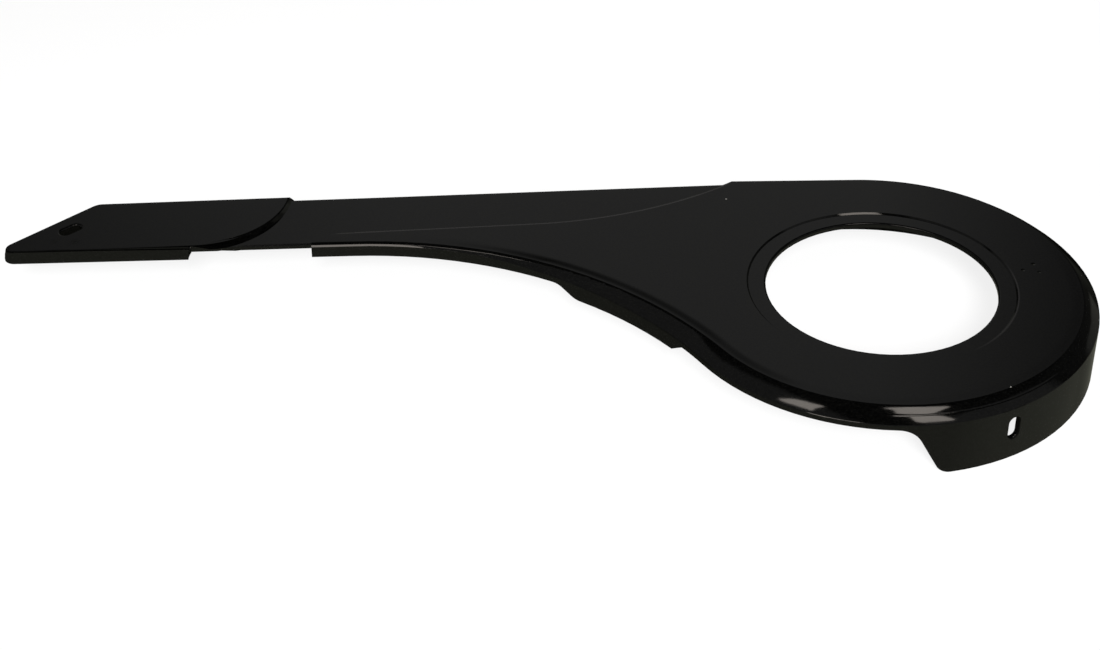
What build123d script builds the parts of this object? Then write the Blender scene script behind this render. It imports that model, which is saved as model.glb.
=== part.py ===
"""Bicycle chain guard: a thin moulded shell, with a disc over the chainwheel and an arm over the chain."""
import os
from math import acos, asin, atan2, cos, degrees, radians, sin, tan

from build123d import *

# The hole centre is the origin, the tail points to -X, +Y is up on the bicycle and +Z faces outwards.
# All sizes are in millimetres. Plan sizes are those of the outer wall, and the edge of the face lies
# inside it by the width of the shoulder, which differs from place to place.
wall = 2.5
hole_r = 55.0
hole_round = 1.0
ring_r = 63.7
ring_drop = 0.7
ring_slope_run = 0.8
disc_r = 102.5
disc_shoulder = 7.5

# The top edge runs from the disc to a knee a little lower than the disc's top, and on to the tail corner.
knee_x = -66.0
knee_drop = 4.5
knee_shoulder = 4.2
top_slope = 4.254
tail_corner_x = -386.0
tail_corner_shoulder = 2.0
tail_corner_round = 9.5

# The lower edge rises from the tail tip at a small slope, then swoops down and joins the disc.
tip_x = -431.4
tip_shoulder = 2.8
tip_round = 5.3
low_slope = 2.66
swoop_x = -245.0
swoop_top_y = 35.4
swoop_shoulder = 1.3

# The shoulder between face and wall has two sloped bands that meet in a faint crease.
crease_share = 0.5
crease_depth = 2.6
shoulder_depth = 5.7
fold_r = 2.0
shoulder_r = 1.0

# The arm is a lower band between the raised tail and the raised body.
arm_drop = 2.2
tail_curve_x = -339.3
tail_curve_y = 81.5
tail_curve_r = 50.5
body_line_start = (-279.0, 31.0)
body_line_corner_x = -268.8
body_line_round = 12.0
body_line_slope = 5.17
sweep_start = (-165.0, 54.15)
sweep_r = 190.0
step_run = 1.4
step_break = 0.3
step_break_slope = 65.0

# Depths of the skirt below the face, from the tail round to the front.
tail_skirt = 6.7
tail_end_skirt = 3.5
arm_skirt = 7.0
tab_skirt = 13.0
disc_skirt = 8.2
deep_skirt = 33.2

# Where the depth changes along X.
tail_skirt_end = (-334.0, -332.5)
tail_curl_end = (-318.0, -309.0)
arm_skirt_start = -274.0
tab_rise = (-154.0, -145.5)
tab_rise_round = 8.0
tab_end = (-101.0, -96.6)
deep_rise = (3.3, 17.1)
deep_rise_round = 12.0
deep_corner_round = 8.0
top_taper_end = -232.0

# The arm's bare lower edge, as places along X and how far each lies above the face's lower line.
arm_edge = ((-332.5, 0.7), (-320.0, 0.8), (-309.0, 2.9), (-274.0, 3.1))
arm_edge_break = 0.7

# Slots for the two fixing screws, with a rounded outer edge.
slot_w = 5.2
slot_len = 11.1
slot_round = 1.2
tail_slot_at = (-393.6, 48.2)
tail_slant = 43.1
front_slot_angle = -60.7
front_slot_depth = 16.9

# Cutters reach past the shell by this much, and this plan line parts the lower skirt from the upper one.
past = 60.0
part_y = swoop_top_y + 2 * wall
sweep_past = 12.5

# The skirt cutter stays this far below the arm's underside, and edges are picked within this distance.
arm_clear = 0.4
pick = 0.01

# The origin lies halfway through the sheet at the hole.
face_z = ring_drop + wall / 2


def level(depth):
    """Height of something that lies this deep below the face."""
    return face_z - depth


def polar(radius, angle):
    """Plan point at an angle in radians."""
    return Vector(radius * cos(angle), radius * sin(angle))


def swoop(share):
    """Centre and radius of the arc under the arm, which touches the disc; shares are as in outline."""
    disc = disc_r - disc_shoulder * (1 - share)
    top = swoop_top_y + swoop_shoulder * (1 - share)
    radius = (swoop_x**2 + top**2 - disc**2) / (2 * (disc + top))
    return Vector(swoop_x, top - radius), radius


def low_line(share):
    """Where the lower line leaves the arc, as a point, and the line's rise along X."""
    centre, radius = swoop(share)
    slope = radians(low_slope)
    return centre + polar(radius, radians(90) + slope), tan(slope)


def tail_end(share):
    """Corner and tip of the slanted tail end, before they are rounded."""
    inset = 1 - share
    corner_y = disc_r - knee_drop - (knee_x - tail_corner_x) * tan(radians(top_slope))
    corner_inset = tail_corner_shoulder * inset
    corner = Vector(tail_corner_x + corner_inset, corner_y - corner_inset)
    leave, rise = low_line(share)
    tip_at = tip_x + tip_shoulder * inset
    return corner, Vector(tip_at, leave.Y + (tip_at - leave.X) * rise)


def outline(share):
    """Closed plan outline; share 0 is the edge of the face and 1 the outer wall."""
    inset = 1 - share
    disc = disc_r - disc_shoulder * inset
    knee = Vector(knee_x, disc_r - knee_drop - knee_shoulder * inset)
    corner, tip = tail_end(share)

    # The arc under the arm runs from the lower line to the disc.
    centre, radius = swoop(share)
    leave = low_line(share)[0]
    join = centre * (disc / centre.length)
    join_turn = atan2(-centre.Y, -centre.X)
    middle = centre + polar(radius, (join_turn + radians(90 + low_slope)) / 2)

    # The top edge touches the disc and runs to the knee.
    touch = polar(disc, atan2(knee.Y, knee.X) - acos(disc / knee.length))
    plan = make_face(
        [
            ThreePointArc(join, Vector(disc, 0), touch),
            Line(touch, knee),
            Line(knee, corner),
            Line(corner, tip),
            Line(tip, leave),
            ThreePointArc(leave, middle, join),
        ]
    )
    plan = fillet(plan.vertices().sort_by_distance(tip)[0], tip_round - tip_shoulder * inset / 2)
    corner_round = tail_corner_round - tail_corner_shoulder * inset
    return fillet(plan.vertices().sort_by_distance(corner)[0], corner_round)


def pulled(plan, amount):
    """Plan shape with its edge moved inwards; a negative amount widens it."""
    return offset(plan, -amount) if amount else plan


def hull(drop, inset, bottom):
    """Filled form under the face; drop lowers its top and inset pulls it in by a wall thickness."""
    slope = atan2(shoulder_depth, disc_shoulder)
    rim = inset * tan(slope / 2)
    foot = inset * tan(radians(45) - slope / 2)
    crease = drop + crease_depth * (1 - drop / shoulder_depth)
    top = Pos(0, 0, level(drop + inset)) * pulled(outline(0), rim)
    middle = Pos(0, 0, level(crease + (inset + foot) / 2)) * pulled(outline(crease_share), (rim + inset) / 2)
    low = Pos(0, 0, level(shoulder_depth + foot)) * pulled(outline(1), inset)
    side = extrude(low, shoulder_depth + foot - bottom)
    return loft([top, middle], ruled=True) + loft([middle, low], ruled=True) + side


def rounded_hull(drop):
    """Outside form with its fold and the foot of its shoulder rounded."""
    form = hull(drop, 0, deep_skirt)
    form = fillet(form.faces().sort_by(Axis.Z)[-1].edges(), fold_r)
    foot_z = level(shoulder_depth)
    foot = form.edges().filter_by_position(Axis.Z, foot_z - pick, foot_z + pick)
    return fillet(foot, shoulder_r)


def arm_region():
    """Plan region of the lowered arm, from the tail's curve to the body's raised line."""
    slope = radians(body_line_slope)
    start = Vector(*body_line_start)
    sweep = Vector(*sweep_start)
    corner_y = sweep.Y + (body_line_corner_x - sweep.X) * tan(slope)
    corner = Vector(body_line_corner_x, corner_y)
    centre = sweep + polar(sweep_r, slope + radians(90))
    sweep_turn = slope - radians(90)
    end_y = disc_r + sweep_past
    end_turn = asin((end_y - centre.Y) / sweep_r)
    end = centre + polar(sweep_r, end_turn)
    tail_c = Vector(tail_curve_x, tail_curve_y)
    tail_side = tail_c + Vector(tail_curve_r, 0)
    tail_low = tail_c - Vector(0, tail_curve_r)
    plan = make_face(
        [
            Line(Vector(tail_side.X, end_y), tail_side),
            ThreePointArc(tail_side, tail_c + polar(tail_curve_r, radians(-45)), tail_low),
            Line(tail_low, Vector(tail_low.X, 0)),
            Line(Vector(tail_low.X, 0), Vector(start.X, 0)),
            Line(Vector(start.X, 0), start),
            Line(start, corner),
            Line(corner, sweep),
            ThreePointArc(sweep, centre + polar(sweep_r, (sweep_turn + end_turn) / 2), end),
            Line(end, Vector(tail_side.X, end_y)),
        ]
    )
    return fillet(plan.vertices().sort_by_distance(corner)[0], body_line_round)


def prism(plan):
    """Plan shape made solid through the whole height."""
    return extrude(Pos(0, 0, level(deep_skirt + past)) * plan, deep_skirt + 2 * past)


def step_cut(region):
    """Cutter for the arm's band: sloped sides that open wider at the very top, to break the edge."""
    lean = atan2(step_run, arm_drop)
    low = pulled(region, shoulder_depth * tan(lean))
    sides = extrude(Pos(0, 0, level(shoulder_depth)) * low, shoulder_depth + 1, taper=-degrees(lean))
    brim = pulled(region, step_break * tan(lean))
    edge = extrude(Pos(0, 0, level(step_break)) * brim, 2 * step_break, taper=-step_break_slope)
    return sides + edge


def lower_trim():
    """Everything below the free edge of the lower skirt, seen from the side."""
    arm_under = arm_drop + wall + arm_clear
    floor = deep_skirt + past
    left = tip_x - past
    points = [
        (left, floor),
        (left, tail_skirt),
        (tail_skirt_end[0], tail_skirt),
        (tail_skirt_end[1], tail_end_skirt),
        (tail_curl_end[0], tail_end_skirt),
        (tail_curl_end[1], arm_under),
        (arm_skirt_start, arm_under),
        (arm_skirt_start, arm_skirt),
        (tab_rise[0], arm_skirt),
        (tab_rise[1], tab_skirt),
        (tab_end[0], tab_skirt),
        (tab_end[1], disc_skirt),
        (deep_rise[0], disc_skirt),
        (deep_rise[1], deep_skirt),
        (disc_r + past, deep_skirt),
        (disc_r + past, floor),
    ]
    profile = make_face(Polyline(*[(x, level(depth)) for x, depth in points], close=True))
    rounds = [
        (tab_rise[0], arm_skirt, tab_rise_round),
        (tab_rise[1], tab_skirt, tab_rise_round),
        (deep_rise[0], disc_skirt, deep_rise_round),
        (deep_rise[1], deep_skirt, deep_corner_round),
    ]
    for x, depth, radius in rounds:
        corner = profile.vertices().sort_by_distance(Vector(x, level(depth)))[0]
        profile = fillet(corner, radius)
    return extrude(Plane.XZ.offset(-part_y) * profile, part_y + disc_r + past)


def upper_trim():
    """Everything below the upper skirt, which gets deeper from the slanted tail end on."""
    floor = level(deep_skirt + past)
    left = tip_x - past
    corner, tip = tail_end(1)
    slant = corner - tip
    taper_start = tip.X + ((part_y - tip.Y) * slant.X + wall * slant.length) / slant.Y
    profile = make_face(
        Polyline(
            Vector(left, floor),
            Vector(left, level(tail_skirt)),
            Vector(taper_start, level(tail_skirt)),
            Vector(top_taper_end, level(deep_skirt)),
            Vector(top_taper_end, floor),
            close=True,
        )
    )
    return extrude(Plane.XZ.offset(-part_y) * profile, -past)


def bare_edge():
    """Plan points of the arm's bare lower edge."""
    leave, rise = low_line(0)
    return [Vector(x, leave.Y + (x - leave.X) * rise + above) for x, above in arm_edge]


def arm_gap():
    """Stretch of the lower edge between tail and body that has no skirt."""
    edge = bare_edge()
    return prism(make_face(Polyline((edge[0].X, 0), *edge, (edge[-1].X, 0), close=True)))


def low_band():
    """Outside form at the height of the lowered arm, with the arm's bare edge broken."""
    form = rounded_hull(arm_drop) - arm_gap()
    edge = bare_edge()
    middle = (edge[2] + edge[3]) / 2 + Vector(0, 0, level(arm_drop))
    return chamfer(form.edges().sort_by_distance(middle)[0], arm_edge_break)


def ring_dish(inset):
    """Shallow dish round the hole: the recess itself, or its seat one wall thickness below the face."""
    wide = ring_r + ring_slope_run / 2 + inset
    return Pos(0, 0, level(inset + ring_drop / 2)) * Cone(wide - ring_slope_run, wide, ring_drop)


def with_slot(form, place):
    """Form with a screw slot at a place on its outside, long along the local X."""
    form -= extrude(place * SlotOverall(slot_len, slot_w), 3 * wall, both=True)
    outside = Plane(place)
    rim = []
    for edge in form.edges():
        middle = outside.to_local_coords(edge.center())
        beside = abs(middle.X) < slot_len / 2 + pick and abs(middle.Y) < slot_w / 2 + pick
        if beside and abs(middle.Z) < wall / 2:
            rim.append(edge)
    return fillet(rim, slot_round)


def chain_guard():
    """The whole moulding."""
    region = arm_region()
    outside = (rounded_hull(0) - step_cut(region) - arm_gap()) + low_band()
    under_arm = prism(pulled(region, step_run / 2 - wall))
    deep = deep_skirt + past
    inside = (hull(0, wall, deep) - under_arm) + (hull(arm_drop, wall, deep) & under_arm)
    form = outside - (inside - ring_dish(wall)) - ring_dish(0)
    form -= Cylinder(hole_r, past)
    rim = form.edges().filter_by(GeomType.CIRCLE).filter_by(lambda e: abs(e.radius - hole_r) < pick)
    form = fillet(rim.sort_by(Axis.Z)[-1], hole_round)
    form = form - lower_trim() - upper_trim()

    # The tail slot lies along the slanted end of the tail.
    form = with_slot(form, Pos(*tail_slot_at, face_z) * Rot(0, 0, tail_slant))
    front = Rot(0, 0, front_slot_angle) * Pos(disc_r, 0, level(front_slot_depth)) * Rot(0, 90, 0)
    return with_slot(form, front)


os.makedirs("parts", exist_ok=True)
guard = chain_guard()
export_step(guard, "parts/chain_guard.step")
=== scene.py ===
"""Glossy black bicycle chain guard on a pale studio floor."""
from math import hypot, radians

import bpy
from bpy.props import FloatProperty, FloatVectorProperty, PointerProperty
from bpy.types import Operator, Panel, PropertyGroup
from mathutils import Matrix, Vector
from mathutils.bvhtree import BVHTree


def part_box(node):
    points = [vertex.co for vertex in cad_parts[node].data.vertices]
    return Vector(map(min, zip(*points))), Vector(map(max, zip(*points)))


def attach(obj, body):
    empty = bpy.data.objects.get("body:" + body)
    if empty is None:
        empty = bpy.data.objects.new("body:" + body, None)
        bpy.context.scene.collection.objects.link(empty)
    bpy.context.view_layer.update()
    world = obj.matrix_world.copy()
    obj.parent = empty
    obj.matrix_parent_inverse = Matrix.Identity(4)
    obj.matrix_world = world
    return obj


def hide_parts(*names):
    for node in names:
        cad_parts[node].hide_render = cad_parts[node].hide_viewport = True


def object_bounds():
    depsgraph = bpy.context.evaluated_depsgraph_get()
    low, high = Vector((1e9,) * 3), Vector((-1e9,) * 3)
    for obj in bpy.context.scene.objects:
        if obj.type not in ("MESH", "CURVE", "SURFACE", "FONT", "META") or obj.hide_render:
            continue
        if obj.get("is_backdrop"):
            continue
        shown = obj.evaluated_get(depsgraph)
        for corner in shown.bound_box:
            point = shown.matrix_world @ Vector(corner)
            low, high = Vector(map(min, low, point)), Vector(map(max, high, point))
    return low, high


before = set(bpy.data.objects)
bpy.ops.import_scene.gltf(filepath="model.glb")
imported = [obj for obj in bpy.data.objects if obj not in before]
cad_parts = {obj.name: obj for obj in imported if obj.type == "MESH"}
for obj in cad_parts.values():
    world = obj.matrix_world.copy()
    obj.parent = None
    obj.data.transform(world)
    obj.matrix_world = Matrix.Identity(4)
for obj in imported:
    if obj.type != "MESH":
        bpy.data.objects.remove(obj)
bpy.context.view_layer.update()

bl_info = {
    "name": "Chain guard",
    "version": (1, 0, 0),
    "blender": (4, 5, 0),
    "location": "View3D > Sidebar > Chain guard",
    "description": "Finishes a moulded chain guard and sets its studio",
    "category": "Object",
}

# Plan corners of each softbox, in metres, at the height that the studio gives them.
SOFTBOXES = {
    "left_softbox": (
        (-0.735, -0.302), (-0.700, -0.342), (-0.480, -0.474),
        (-0.440, -0.430), (-0.362, -0.405), (-0.600, -0.296),
    ),
    "right_back_softbox": (
        (-0.004, -0.384), (0.076, -0.416), (0.106, -0.484),
        (0.333, -0.480), (0.384, -0.415), (0.458, -0.336),
    ),
    "right_front_softbox": (
        (0.122, -0.487), (0.176, -0.516), (0.236, -0.618),
        (0.540, -0.565), (0.446, -0.514), (0.330, -0.485),
    ),
    "front_left_softbox": (
        (-0.680, -0.620), (-0.800, -1.020), (-0.540, -1.000),
        (-0.460, -0.850), (-0.180, -0.850), (-0.200, -0.690),
    ),
}

# Circles on the outer face in plan, as a centre and a radius in metres.
DISC_FOLD = (0.0, 0.0), 0.09437
ARM_FOLD = (-0.245, -0.15997), 0.1982
BODY_SWEEP = (-0.18212, 0.24338), 0.190
RECESS_EDGE = (0.0, 0.0), 0.0643

# Straight lines on the outer face in plan, as the weights of x and y and an offset in metres.
DISC_SIDE = 0.5493, -0.8357, 0.0
BODY_EDGE = 0.09011, -0.99593, 0.068798

# Small marks on the moulding, as a place and a radius in metres.
DUST = (
    ((-0.0692, 0.0765, 0.0020), 0.0005),
    ((0.0480, -0.0812, 0.0018), 0.0005),
)
DENTS = (
    ((0.0749, 0.0177, 0.0020), 0.0012),
    ((0.0692, 0.0125, 0.0020), 0.0011),
    ((0.0766, 0.0108, 0.0020), 0.0010),
)
SMUDGES = (
    ((-0.3995, 0.0375, 0.0020), 0.0045),
    ((-0.3900, 0.0370, 0.0020), 0.0060),
)

# Relief of the plastic in metres: the crease's level, heights, and pairs for slow waves and fine grain.
CREASE_Z = -0.00065
CREASE_DEPTH = 0.00005
CROWN_FALL = 0.00034
DENT_DEPTH = 0.0004
GLOSS_GRAIN = 0.000010, 0.0000002
INSIDE_GRAIN = 0.000020, 0.000004

# How strongly the plastic mirrors.
PLASTIC_IOR = 1.5
INSIDE_SPECULAR = 0.12

# Places along x where a form on the moulding ends, or over which it changes, in metres.
BODY_SWEEP_X = -0.165
DISC_SIDE_X = -0.112
ARM_SKIRT_X = -0.2741
ARM_RISE_X = -0.210, -0.115
TAIL_RISE_X = -0.385, -0.340
TAIL_SKIRT_X = -0.33345, -0.3329
TAIL_TIP_X = -0.410
TAIL_END_X = -0.415, -0.382

# Limits of the forms that are reshaped: the lower shoulder, and the skirt of the slanted tail end.
LOWER_EDGE_Y = 0.040
SHOULDER_REACH = 0.0062
TAIL_END_CORNER = -0.380, 0.0395, -0.0046

# What the shoulder of the tail gains towards the arm, as a share of the disc's.
TAIL_RISE = 0.12

# Widest gap across a slot, and how far off its face a ray starts, in metres.
SLOT_SPAN = 0.012
RAY_GAP = 0.0001

# A face whose normal has less height than this, up or down, is a wall.
WALL_SLOPE = 0.3

# Floor width in metres, and the place, tilt and spread of the front light.
FLOOR_SIZE = 8.0
FILL_PLACE = -0.16, -2.0, 1.6
FILL_TILT = radians(54.0)
FILL_SPREAD = radians(14.0)

# Tint of the room above the horizon, and brightness of its parts, as the gloss mirrors them.
SKY_COLOR = 1.0, 1.0, 0.98, 1.0
DARK_WALL = 0.012
BACKDROP = 0.205
FRONT_WALL = 0.15
FRONT_GROUND = 0.22
FAR_GROUND = 0.02
RIGHT_GROUND = 0.08
GROUND_BEHIND = 0.17, 0.005
HORIZON = 0.04
LEFT_GLOW = 0.13
BACK_LEFT_GLOW = 0.12
RIGHT_GLOW = 0.16
FAR_RIGHT_GLOW = 0.14


class GuardSettings(PropertyGroup):
    """Shape and finish of the moulding."""

    plastic_color: FloatVectorProperty(
        name="Plastic",
        description="Colour of the moulded plastic",
        subtype="COLOR",
        size=4,
        min=0.0,
        max=1.0,
        default=(0.0002, 0.0002, 0.0002, 1.0),
    )
    speckle_color: FloatVectorProperty(
        name="Speckle",
        description="Colour of the finest grains in the plastic",
        subtype="COLOR",
        size=4,
        min=0.0,
        max=1.0,
        default=(0.0014, 0.0014, 0.0013, 1.0),
    )
    # Painted highlight: colour of the pale glint lines along the raised edge of the body and the front of
    # the recess.
    edge_glint_color: FloatVectorProperty(
        name="Wear",
        description="Colour of the worn edges",
        subtype="COLOR",
        size=4,
        min=0.0,
        max=1.0,
        default=(0.022, 0.021, 0.021, 1.0),
    )
    dust_color: FloatVectorProperty(
        name="Dust",
        description="Colour of the specks of dust",
        subtype="COLOR",
        size=4,
        min=0.0,
        max=1.0,
        default=(0.30, 0.29, 0.27, 1.0),
    )
    # Kept very dark: partly the satin's own colour, partly painted shade where the inside shows through the
    # slots.
    inside_color: FloatVectorProperty(
        name="Inside",
        description="Colour of the unpolished inside",
        subtype="COLOR",
        size=4,
        min=0.0,
        max=1.0,
        default=(0.0012, 0.0011, 0.0009, 1.0),
    )
    gloss_roughness: FloatProperty(
        name="Gloss",
        description="Roughness of the polished outside",
        min=0.0,
        max=1.0,
        default=0.055,
    )
    smudge_roughness: FloatProperty(
        name="Smudge",
        description="Roughness where the gloss is smudged",
        min=0.0,
        max=1.0,
        default=0.32,
    )
    inside_roughness: FloatProperty(
        name="Satin",
        description="Roughness of the unpolished inside",
        min=0.0,
        max=1.0,
        default=0.42,
    )
    smooth_angle: FloatProperty(
        name="Smooth angle",
        description="Edges that bend less than this are shaded smooth",
        subtype="ANGLE",
        unit="ROTATION",
        default=radians(25.0),
    )
    arm_shoulder: FloatProperty(
        name="Arm shoulder",
        description="Height of the shoulder along the lower edge of the arm, as a share of the disc's",
        min=0.0,
        max=1.0,
        default=0.235,
    )
    tail_shoulder: FloatProperty(
        name="Tail shoulder",
        description="Height of the shoulder along the lower edge of the tail, as a share of the disc's",
        min=0.0,
        max=1.0,
        default=0.04,
    )
    tail_end_tip: FloatProperty(
        name="Tail end, tip",
        description="How much deeper the skirt of the slanted tail end is at its tip",
        subtype="DISTANCE",
        unit="LENGTH",
        default=0.0022,
    )
    tail_end_top: FloatProperty(
        name="Tail end, top",
        description="How much deeper the skirt of the slanted tail end is at its top",
        subtype="DISTANCE",
        unit="LENGTH",
        default=0.0050,
    )


class StudioSettings(PropertyGroup):
    """Camera, lamps and floor."""

    floor_color: FloatVectorProperty(
        name="Floor",
        description="Colour of the studio floor",
        subtype="COLOR",
        size=4,
        min=0.0,
        max=1.0,
        default=(0.97, 0.97, 0.97, 1.0),
    )
    floor_white: FloatProperty(
        name="Floor white",
        description="Share of the floor that shows plain white, while the rest keeps the shadow",
        min=0.0,
        max=1.0,
        default=0.85,
    )
    air_color: FloatVectorProperty(
        name="Air",
        description="Tint of the dim room below the horizon that the gloss mirrors",
        subtype="COLOR",
        size=4,
        min=0.0,
        max=1.0,
        default=(0.98, 1.0, 0.80, 1.0),
    )
    card_color: FloatVectorProperty(
        name="Softbox",
        description="Tint of the softboxes",
        subtype="COLOR",
        size=4,
        min=0.0,
        max=1.0,
        default=(1.0, 0.92, 0.84, 1.0),
    )
    card_light: FloatProperty(
        name="Softbox light",
        description="Brightness of the softboxes",
        min=0.0,
        default=4.1,
    )
    card_height: FloatProperty(
        name="Softbox height",
        description="Height of the softboxes above the middle of the sheet",
        subtype="DISTANCE",
        unit="LENGTH",
        default=1.0,
    )
    fill_light: FloatProperty(
        name="Fill",
        description="Strength of the front light that brings the floor to white",
        min=0.0,
        default=5.3,
    )
    camera_place: FloatVectorProperty(
        name="Camera",
        description="Where the camera stands",
        subtype="TRANSLATION",
        unit="LENGTH",
        size=3,
        default=(-0.1576, -0.9038, 0.61605),
    )
    camera_dip: FloatProperty(
        name="Camera dip",
        description="How far the camera looks down",
        subtype="ANGLE",
        unit="ROTATION",
        default=radians(35.2),
    )
    camera_lens: FloatProperty(
        name="Lens",
        description="Focal length in millimetres on a sensor 36 mm wide",
        default=75.27,
    )


def smooth_step(value, start, end):
    """0 before start, 1 after end, and a smooth rise between them."""
    share = min(max((value - start) / (end - start), 0.0), 1.0)
    return share * share * (3.0 - 2.0 * share)


def new_material(name):
    """An empty node material and its tree."""
    material = bpy.data.materials.new(name)
    material.use_nodes = True
    material.node_tree.nodes.clear()
    return material, material.node_tree


def link(tree, source, target):
    """Joins two sockets."""
    tree.links.new(source, target)


def map_range(tree, source, span, values=(0.0, 1.0), curve="LINEAR"):
    """A node that turns one span of values into another."""
    node = tree.nodes.new("ShaderNodeMapRange")
    node.interpolation_type = curve
    node.inputs["From Min"].default_value, node.inputs["From Max"].default_value = span
    node.inputs["To Min"].default_value, node.inputs["To Max"].default_value = values
    link(tree, source, node.inputs["Value"])
    return node.outputs["Result"]


def combine(tree, operation, first, second=0.0):
    """A node that joins two values, each a socket or a number."""
    node = tree.nodes.new("ShaderNodeMath")
    node.operation = operation
    for socket, value in zip(node.inputs, (first, second)):
        if isinstance(value, (int, float)):
            socket.default_value = value
        else:
            link(tree, value, socket)
    return node.outputs["Value"]


def product(tree, first, *others):
    """Several values multiplied."""
    for value in others:
        first = combine(tree, "MULTIPLY", first, value)
    return first


def mix_color(tree, share, first, second):
    """A node that blends two colours, each a socket or four numbers."""
    node = tree.nodes.new("ShaderNodeMix")
    node.data_type = "RGBA"
    link(tree, share, node.inputs["Factor"])
    for socket, value in ((node.inputs[6], first), (node.inputs[7], second)):
        if isinstance(value, bpy.types.NodeSocket):
            link(tree, value, socket)
        else:
            socket.default_value = value
    return node.outputs[2]


def mix_value(tree, share, first, second):
    """A node that blends two values."""
    node = tree.nodes.new("ShaderNodeMix")
    link(tree, share, node.inputs["Factor"])
    link(tree, first, node.inputs["A"])
    link(tree, second, node.inputs["B"])
    return node.outputs["Result"]


def noise(tree, where, scale, detail=2.0):
    """Cloudy values from 0 to 1."""
    node = tree.nodes.new("ShaderNodeTexNoise")
    node.inputs["Scale"].default_value = scale
    node.inputs["Detail"].default_value = detail
    link(tree, where, node.inputs["Vector"])
    return node.outputs["Fac"]


def marks(tree, where, places, core=0.5):
    """Round marks: 1 within that share of each radius, fading to 0 at its edge."""
    shown = None
    for place, radius in places:
        node = tree.nodes.new("ShaderNodeVectorMath")
        node.operation = "DISTANCE"
        node.inputs[1].default_value = place
        link(tree, where, node.inputs[0])
        mark = map_range(tree, node.outputs["Value"], (radius * core, radius), (1.0, 0.0), "SMOOTHSTEP")
        shown = mark if shown is None else combine(tree, "MAXIMUM", shown, mark)
    return shown


def grain_group():
    """Moulded grain: slow waves and fine grain as a height, and the finest grains as a speckle."""
    group = bpy.data.node_groups.new("moulded_grain", "ShaderNodeTree")
    group.interface.new_socket("Position", in_out="INPUT", socket_type="NodeSocketVector")
    group.interface.new_socket("Waves", in_out="INPUT", socket_type="NodeSocketFloat")
    group.interface.new_socket("Grain", in_out="INPUT", socket_type="NodeSocketFloat")
    group.interface.new_socket("Height", in_out="OUTPUT", socket_type="NodeSocketFloat")
    group.interface.new_socket("Speckle", in_out="OUTPUT", socket_type="NodeSocketFloat")
    given = group.nodes.new("NodeGroupInput")
    made = group.nodes.new("NodeGroupOutput")
    where = given.outputs["Position"]
    waves = product(group, noise(group, where, 38.0), given.outputs["Waves"])
    grain = product(group, noise(group, where, 2400.0), given.outputs["Grain"])
    link(group, combine(group, "ADD", waves, grain), made.inputs["Height"])
    speckle = map_range(group, noise(group, where, 1100.0, 1.0), (0.36, 0.66))
    link(group, speckle, made.inputs["Speckle"])
    return group


def grained(tree, group, waves, grain):
    """Places the grain on a piece, with its wave and grain heights in metres."""
    spot = tree.nodes.new("ShaderNodeTexCoord")
    node = tree.nodes.new("ShaderNodeGroup")
    node.node_tree = group
    node.inputs["Waves"].default_value = waves
    node.inputs["Grain"].default_value = grain
    link(tree, spot.outputs["Object"], node.inputs["Position"])
    return spot.outputs["Object"], node.outputs["Height"], node.outputs["Speckle"]


def bump(tree, height):
    """Turns a height in metres into a normal."""
    node = tree.nodes.new("ShaderNodeBump")
    node.inputs["Distance"].default_value = 1.0
    link(tree, height, node.inputs["Height"])
    return node.outputs["Normal"]


def past_circle(tree, x, y, circle):
    """Distance in plan outside a circle."""
    (centre_x, centre_y), radius = circle
    across = combine(tree, "SUBTRACT", x, centre_x)
    along = combine(tree, "SUBTRACT", y, centre_y)
    square = combine(tree, "ADD", product(tree, across, across), product(tree, along, along))
    return combine(tree, "SUBTRACT", combine(tree, "SQRT", square), radius)


def past_line(tree, x, y, line):
    """Distance in plan past a straight line."""
    weight_x, weight_y, offset = line
    ahead = combine(tree, "ADD", product(tree, x, weight_x), product(tree, y, weight_y))
    return combine(tree, "ADD", ahead, offset)


def crease_line(tree, x, y, z):
    """Fine groove along the crease of the disc's shoulder at the front right, as a height in metres."""
    off = combine(tree, "ABSOLUTE", combine(tree, "SUBTRACT", z, CREASE_Z))
    groove = map_range(tree, off, (0.00004, 0.00034), (-CREASE_DEPTH, 0.0), "SMOOTHSTEP")
    rim = map_range(tree, past_circle(tree, x, y, DISC_FOLD), (-0.01037, -0.00637))
    right = map_range(tree, x, (-0.010, 0.010))
    front = map_range(tree, y, (-0.070, -0.050), (1.0, 0.0))
    return product(tree, groove, rim, right, front)


def crown(tree, x, y):
    """Soft rounding of the face before the fold of the disc's left and of the arm, as a height in metres."""
    inside_disc = product(tree, past_circle(tree, x, y, DISC_FOLD), -1.0)
    above_sweep = past_circle(tree, x, y, ARM_FOLD)
    on_disc = combine(tree, "GREATER_THAN", past_line(tree, x, y, DISC_SIDE), 0.0)
    inward = mix_value(tree, on_disc, above_sweep, inside_disc)
    fall = map_range(tree, inward, (-0.0006, 0.0060), (-CROWN_FALL, 0.0), "SMOOTHSTEP")
    below_top = map_range(tree, y, (0.020, 0.050), (1.0, 0.0))
    left = map_range(tree, x, (-0.083, -0.043), (1.0, 0.1))
    off_arm_end = map_range(tree, x, (-0.240, -0.200))
    return product(tree, fall, below_top, left, off_arm_end)


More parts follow.
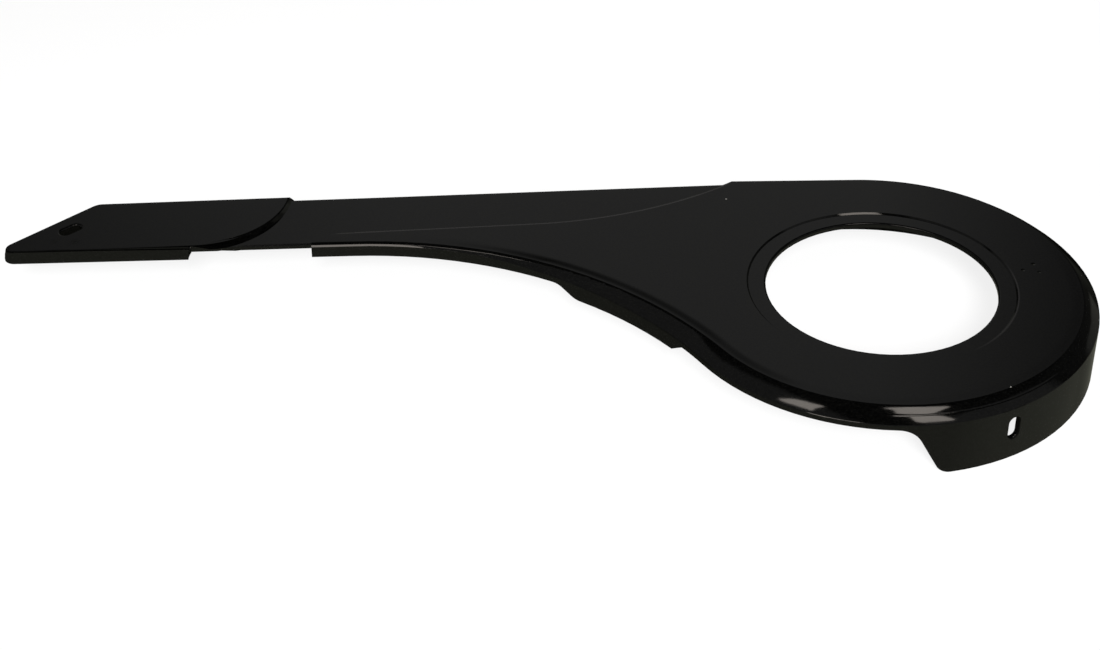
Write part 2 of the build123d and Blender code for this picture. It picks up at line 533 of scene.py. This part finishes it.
def painted_edge_glints(tree, x, y, z):
    """Painted highlight: a pale line standing in for the glint of light along the raised edge of the body,
    and along the front of the recess round the hole.
    """
    on_sweep = combine(tree, "GREATER_THAN", x, BODY_SWEEP_X)
    run = past_line(tree, x, y, BODY_EDGE)
    inward = mix_value(tree, on_sweep, run, past_circle(tree, x, y, BODY_SWEEP))
    off = combine(tree, "ABSOLUTE", combine(tree, "SUBTRACT", inward, 0.0008))
    body = product(
        tree,
        map_range(tree, off, (0.0001, 0.0006), (1.0, 0.0)),
        map_range(tree, x, (-0.266, -0.255)),
        map_range(tree, x, (-0.070, -0.064), (1.0, 0.0)),
    )
    off = combine(tree, "ABSOLUTE", past_circle(tree, x, y, RECESS_EDGE))
    recess = product(
        tree,
        map_range(tree, off, (0.0001, 0.0006), (1.0, 0.0)),
        map_range(tree, x, (0.035, 0.052), (0.0, 0.6)),
        map_range(tree, y, (0.004, 0.020), (1.0, 0.0)),
    )
    on_face = map_range(tree, z, (0.0012, 0.0018))
    return product(tree, combine(tree, "MAXIMUM", body, recess), on_face)


def plastic(name):
    """A plastic material, its tree and its shader."""
    material, tree = new_material(name)
    out = tree.nodes.new("ShaderNodeOutputMaterial")
    skin = tree.nodes.new("ShaderNodeBsdfPrincipled")
    skin.inputs["IOR"].default_value = PLASTIC_IOR
    link(tree, skin.outputs["BSDF"], out.inputs["Surface"])
    return material, tree, skin


def gloss_material(settings, group):
    """Polished black plastic with fine grain, soft relief, painted highlights along edges, smudges and dust.
    """
    material, tree, skin = plastic("gloss_black_plastic")
    where, height, speckle = grained(tree, group, *GLOSS_GRAIN)
    split = tree.nodes.new("ShaderNodeSeparateXYZ")
    link(tree, where, split.inputs["Vector"])
    x, y, z = split.outputs
    for form in (crease_line(tree, x, y, z), crown(tree, x, y)):
        height = combine(tree, "ADD", height, form)
    dents = product(tree, marks(tree, where, DENTS, 0.1), DENT_DEPTH)
    height = combine(tree, "SUBTRACT", height, dents)
    dust = marks(tree, where, DUST)
    color = mix_color(tree, speckle, settings.plastic_color, settings.speckle_color)
    # Painted highlight: pale glint lines along the raised edge of the body and the front of the recess.
    color = mix_color(tree, painted_edge_glints(tree, x, y, z), color, settings.edge_glint_color)
    color = mix_color(tree, dust, color, settings.dust_color)
    smudge = product(tree, marks(tree, where, SMUDGES, 0.0), noise(tree, where, 160.0))
    clouds = map_range(tree, noise(tree, where, 60.0), (0.35, 0.75), (0.0, 0.02))
    rough = map_range(tree, smudge, (0.0, 0.6), (settings.gloss_roughness, settings.smudge_roughness))
    rough = combine(tree, "ADD", rough, clouds)
    rough = combine(tree, "ADD", rough, product(tree, dust, 0.6))
    link(tree, color, skin.inputs["Base Color"])
    link(tree, rough, skin.inputs["Roughness"])
    link(tree, bump(tree, height), skin.inputs["Normal"])
    return material


def inside_material(settings, group):
    """The same plastic as it leaves the core of the mould: satin, with a coarser grain."""
    material, tree, skin = plastic("satin_black_plastic")
    skin.inputs["Specular IOR Level"].default_value = INSIDE_SPECULAR
    where, height, speckle = grained(tree, group, *INSIDE_GRAIN)
    color = mix_color(tree, speckle, settings.plastic_color, settings.inside_color)
    low, high = settings.inside_roughness - 0.05, settings.inside_roughness + 0.10
    rough = map_range(tree, noise(tree, where, 90.0), (0.3, 0.7), (low, high))
    link(tree, color, skin.inputs["Base Color"])
    link(tree, rough, skin.inputs["Roughness"])
    link(tree, bump(tree, height), skin.inputs["Normal"])
    return material


def floor_material(settings):
    """Pale floor that shows plain white, with a share left to keep the shadow."""
    material, tree = new_material("studio_floor")
    out = tree.nodes.new("ShaderNodeOutputMaterial")
    skin = tree.nodes.new("ShaderNodeBsdfDiffuse")
    skin.inputs["Color"].default_value = settings.floor_color
    white = tree.nodes.new("ShaderNodeEmission")
    rays = tree.nodes.new("ShaderNodeLightPath")
    seen = combine(tree, "MAXIMUM", rays.outputs["Is Camera Ray"], rays.outputs["Is Glossy Ray"])
    seen = combine(tree, "MAXIMUM", seen, rays.outputs["Is Transmission Ray"])
    share = product(tree, seen, settings.floor_white)
    mix = tree.nodes.new("ShaderNodeMixShader")
    link(tree, share, mix.inputs["Fac"])
    link(tree, skin.outputs["BSDF"], mix.inputs[1])
    link(tree, white.outputs["Emission"], mix.inputs[2])
    link(tree, mix.outputs["Shader"], out.inputs["Surface"])
    return material


def card_material(settings):
    """Lit cloth of a softbox."""
    material, tree = new_material("softbox_cloth")
    out = tree.nodes.new("ShaderNodeOutputMaterial")
    cloth = tree.nodes.new("ShaderNodeEmission")
    cloth.inputs["Color"].default_value = settings.card_color
    cloth.inputs["Strength"].default_value = settings.card_light
    link(tree, cloth.outputs["Emission"], out.inputs["Surface"])
    return material


class GUARD_OT_shell(Operator):
    """Finish the moulding"""

    bl_idname = "guard.shell"
    bl_label = "Chain guard"

    def execute(self, context):
        settings = context.scene.guard
        shell = self.copy_moulding(context)
        self.lower_shoulder(shell.data, settings)
        self.deepen_tail_end(shell.data, settings)
        self.shade(shell, settings)
        self.finish_surfaces(shell.data, settings)
        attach(shell, "root")
        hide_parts("chain_guard")
        return {"FINISHED"}

    def copy_moulding(self, context):
        """A merged copy of the solid's mesh."""
        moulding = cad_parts["chain_guard"]
        shell = bpy.data.objects.new("guard_shell", moulding.data.copy())
        context.scene.collection.objects.link(shell)
        bpy.ops.object.select_all(action="DESELECT")
        shell.select_set(True)
        context.view_layer.objects.active = shell
        bpy.ops.mesh.customdata_custom_splitnormals_clear()
        bpy.ops.object.mode_set(mode="EDIT")
        bpy.ops.mesh.select_all(action="SELECT")
        bpy.ops.mesh.remove_doubles(threshold=1e-6)
        bpy.ops.object.mode_set(mode="OBJECT")
        return shell

    def lower_shoulder(self, mesh, settings):
        """The shoulder of the lower edge is full on the disc, low on the arm and flatter on the tail."""
        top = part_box("chain_guard")[1].z
        facing = [vertex.normal.copy() for vertex in mesh.vertices]
        for vertex, normal in zip(mesh.vertices, facing):
            x, y, z = vertex.co
            depth = top - z
            on_edge = x < DISC_SIDE_X and y < LOWER_EDGE_Y and normal.y < -0.1 and normal.z > -WALL_SLOPE
            if not on_edge or not 0.0 < depth < SHOULDER_REACH:
                continue
            change = self.shoulder_share(x, settings) - 1.0
            if x < TAIL_TIP_X:
                change *= smooth_step(-normal.y / hypot(normal.x, normal.y), 0.3, 0.8)
            vertex.co.z = top - depth * (1.0 + change)

    def shoulder_share(self, x, settings):
        """Height of the shoulder at a place along the lower edge, as a share of the disc's."""
        if x > ARM_SKIRT_X:
            low = settings.arm_shoulder
            rise = smooth_step(x, *ARM_RISE_X)
        else:
            low = settings.tail_shoulder + TAIL_RISE * smooth_step(x, *TAIL_RISE_X)
            rise = smooth_step(x, *TAIL_SKIRT_X)
        return low + (1.0 - low) * rise

    def deepen_tail_end(self, mesh, settings):
        """The skirt behind the tail slot reaches low enough to close the view through the slot."""
        tip_x, top_x = TAIL_END_X
        right, bottom, roof = TAIL_END_CORNER
        growth = settings.tail_end_top - settings.tail_end_tip
        facing = [vertex.normal.copy() for vertex in mesh.vertices]
        for vertex, normal in zip(mesh.vertices, facing):
            x, y, z = vertex.co
            if x < right and y > bottom and z < roof and normal.z < -0.5:
                vertex.co.z -= settings.tail_end_tip + growth * (x - tip_x) / (top_x - tip_x)

    def shade(self, shell, settings):
        """Smooth shading that keeps large faces flat up to their folds."""
        bpy.ops.object.shade_smooth_by_angle(angle=settings.smooth_angle)
        even = shell.modifiers.new("even_shading", "WEIGHTED_NORMAL")
        even.mode = "FACE_AREA"
        even.weight = 50
        even.keep_sharp = True
        bpy.ops.object.modifier_apply(modifier=even.name)

    def finish_surfaces(self, mesh, settings):
        """The outside is polished. The underside and the walls below the cover are satin. The walls of the
        slots take the same dim satin as painted shade, so that the slots read dark.
        """
        group = grain_group()
        mesh.materials.clear()
        mesh.materials.append(gloss_material(settings, group))
        mesh.materials.append(inside_material(settings, group))
        solid = BVHTree.FromPolygons(
            [vertex.co for vertex in mesh.vertices], [face.vertices for face in mesh.polygons]
        )
        up = Vector((0.0, 0.0, 1.0))
        for face in mesh.polygons:
            start = face.center + face.normal * RAY_GAP
            covered = solid.ray_cast(start, up)[0] is not None
            # Painted shade: the walls of a slot take the dim satin so that the slot reads dark.
            shaded_slot_wall = solid.ray_cast(start, face.normal, SLOT_SPAN)[0] is not None
            inside = face.normal.z < -WALL_SLOPE or (face.normal.z < WALL_SLOPE and (covered or shaded_slot_wall))
            face.material_index = 1 if inside else 0


class GUARD_OT_studio(Operator):
    """Set the floor, lamps, surroundings and camera"""

    bl_idname = "guard.studio"
    bl_label = "Studio"

    def execute(self, context):
        settings = context.scene.studio
        self.floor(settings)
        self.lamps(settings)
        self.surroundings(context.scene, settings)
        self.camera(context.scene, settings)
        return {"FINISHED"}

    def floor(self, settings):
        """Pale floor under the guard, which the gloss doesn't mirror."""
        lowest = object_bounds()[0].z
        bpy.ops.object.select_all(action="DESELECT")
        bpy.ops.mesh.primitive_plane_add(size=FLOOR_SIZE, location=(0.0, 0.0, lowest))
        floor = bpy.context.object
        floor.name = "studio_floor"
        floor.data.materials.append(floor_material(settings))
        floor.visible_glossy = False
        floor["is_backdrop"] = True

    def card(self, name, corners, height, cloth):
        """A level softbox with rounded corners, out of the camera's sight."""
        bpy.ops.object.select_all(action="DESELECT")
        bpy.ops.mesh.primitive_circle_add(vertices=len(corners), fill_type="NGON")
        card = bpy.context.object
        card.name = name
        for vertex, (x, y) in zip(card.data.vertices, corners):
            vertex.co = (x, y, height)
        bpy.ops.object.mode_set(mode="EDIT")
        bpy.ops.mesh.select_all(action="SELECT")
        bpy.ops.mesh.bevel(offset_type="PERCENT", offset_pct=20.0, segments=4, affect="VERTICES")
        bpy.ops.object.mode_set(mode="OBJECT")
        card.data.materials.append(cloth)
        card.visible_camera = False
        card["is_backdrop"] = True

    def lamps(self, settings):
        """Softboxes for the highlights, and a wide front light."""
        cloth = card_material(settings)
        for name, corners in SOFTBOXES.items():
            self.card(name, corners, settings.card_height, cloth)
        bpy.ops.object.light_add(type="SUN", location=FILL_PLACE)
        fill = bpy.context.object
        fill.name = "front_fill"
        fill.data.energy = settings.fill_light
        fill.data.angle = FILL_SPREAD
        fill.rotation_euler = (FILL_TILT, 0.0, 0.0)
        fill.visible_glossy = False

    def surroundings(self, scene, settings):
        """A dim room: a backdrop behind, a front wall, glows at the left and right, and dark ground."""
        world = bpy.data.worlds.new("studio_world")
        scene.world = world
        world.use_nodes = True
        tree = world.node_tree
        tree.nodes.clear()
        out = tree.nodes.new("ShaderNodeOutputWorld")
        room = tree.nodes.new("ShaderNodeBackground")
        where = tree.nodes.new("ShaderNodeTexCoord")
        split = tree.nodes.new("ShaderNodeSeparateXYZ")
        link(tree, where.outputs["Generated"], split.inputs["Vector"])
        x, y, z = split.outputs
        level = combine(tree, "MAXIMUM", self.room_level(tree, x, y, z), self.glow_level(tree, x, y, z))
        sky = map_range(tree, z, (-0.2, 0.4))
        tint = mix_color(tree, sky, settings.air_color, SKY_COLOR)
        link(tree, tint, room.inputs["Color"])
        link(tree, level, room.inputs["Strength"])
        link(tree, room.outputs["Background"], out.inputs["Surface"])

    def room_level(self, tree, x, y, z):
        """Brightness of the backdrop, the ground, the horizon behind and the front wall, by direction."""
        backdrop = product(
            tree,
            map_range(tree, x, (-0.37, -0.07)),
            map_range(tree, x, (0.14, 0.26), (1.0, 0.1)),
            map_range(tree, y, (0.0, 0.3)),
            map_range(tree, z, (0.60, 0.70), (1.0, 0.0), "SMOOTHSTEP"),
        )
        wall = map_range(tree, backdrop, (0.0, 1.0), (DARK_WALL, BACKDROP))
        ground = map_range(tree, y, (-0.85, 0.7), (FRONT_GROUND, FAR_GROUND))
        ground = combine(tree, "ADD", ground, map_range(tree, x, (0.45, 0.70), (0.0, RIGHT_GROUND)))
        ground_behind = map_range(tree, z, (-0.52, -0.42), GROUND_BEHIND)
        ground = mix_value(tree, map_range(tree, y, (0.50, 0.80)), ground, ground_behind)
        level = mix_value(tree, map_range(tree, z, (-0.08, 0.08)), ground, wall)
        horizon = product(
            tree,
            map_range(tree, z, (0.04, 0.09), (HORIZON, 0.0)),
            map_range(tree, z, (-0.24, -0.14)),
            map_range(tree, y, (0.70, 0.85)),
        )
        front = product(
            tree,
            map_range(tree, y, (-0.75, -0.55), (FRONT_WALL, 0.0)),
            map_range(tree, z, (0.10, 0.25)),
            map_range(tree, z, (0.62, 0.75), (1.0, 0.0)),
        )
        return combine(tree, "MAXIMUM", combine(tree, "MAXIMUM", level, horizon), front)

    def glow_level(self, tree, x, y, z):
        """Brightness of the lit walls at the left, right and far right, by direction."""
        lift = combine(tree, "MAXIMUM", z, 0.2)
        across = combine(tree, "DIVIDE", x, lift)
        along = combine(tree, "DIVIDE", y, lift)
        slant = combine(tree, "ADD", product(tree, across, 1.03), along)
        left = map_range(tree, slant, (-0.75, -0.62), (LEFT_GLOW, 0.0), "SMOOTHSTEP")
        back_left = product(
            tree,
            map_range(tree, across, (-1.05, -0.95), (BACK_LEFT_GLOW, 0.0), "SMOOTHSTEP"),
            map_range(tree, along, (0.5, 0.7)),
        )
        slant = combine(tree, "SUBTRACT", across, combine(tree, "DIVIDE", along, 0.7))
        right = product(
            tree,
            map_range(tree, slant, (1.01, 1.11), (0.0, RIGHT_GLOW), "SMOOTHSTEP"),
            map_range(tree, y, (0.05, 0.2), (1.0, 0.0)),
        )
        slant = combine(tree, "SUBTRACT", product(tree, x, 1.44), z)
        far_right = product(
            tree,
            map_range(tree, slant, (0.89, 0.93), (0.0, FAR_RIGHT_GLOW), "SMOOTHSTEP"),
            map_range(tree, y, (0.4, 0.5)),
            map_range(tree, z, (-0.06, -0.01)),
        )
        glow = combine(tree, "MAXIMUM", combine(tree, "MAXIMUM", left, back_left), right)
        glow = product(tree, glow, map_range(tree, z, (0.2, 0.35)))
        return combine(tree, "MAXIMUM", glow, far_right)

    def camera(self, scene, settings):
        """The camera at the photograph's viewing angle."""
        bpy.ops.object.camera_add(location=settings.camera_place)
        camera = bpy.context.object
        camera.name = "photo_camera"
        camera.rotation_euler = (radians(90.0) - settings.camera_dip, 0.0, 0.0)
        camera.data.sensor_width = 36.0
        camera.data.lens = settings.camera_lens
        scene.camera = camera


class GUARD_PT_panel(Panel):
    """Lists the steps and their values"""

    bl_idname = "GUARD_PT_panel"
    bl_label = "Chain guard"
    bl_space_type = "VIEW_3D"
    bl_region_type = "UI"
    bl_category = "Chain guard"

    def draw(self, context):
        layout = self.layout
        for operator, settings in (
            (GUARD_OT_shell, context.scene.guard),
            (GUARD_OT_studio, context.scene.studio),
        ):
            layout.operator(operator.bl_idname)
            for name in settings.__annotations__:
                layout.prop(settings, name)


classes = (GuardSettings, StudioSettings, GUARD_OT_shell, GUARD_OT_studio, GUARD_PT_panel)


def register():
    for cls in classes:
        bpy.utils.register_class(cls)
    bpy.types.Scene.guard = PointerProperty(type=GuardSettings)
    bpy.types.Scene.studio = PointerProperty(type=StudioSettings)


def unregister():
    del bpy.types.Scene.studio
    del bpy.types.Scene.guard
    for cls in reversed(classes):
        bpy.utils.unregister_class(cls)


def main():
    register()
    bpy.context.scene.view_settings.view_transform = "Standard"
    bpy.ops.guard.shell()
    bpy.ops.guard.studio()


if __name__ == "__main__":
    main()
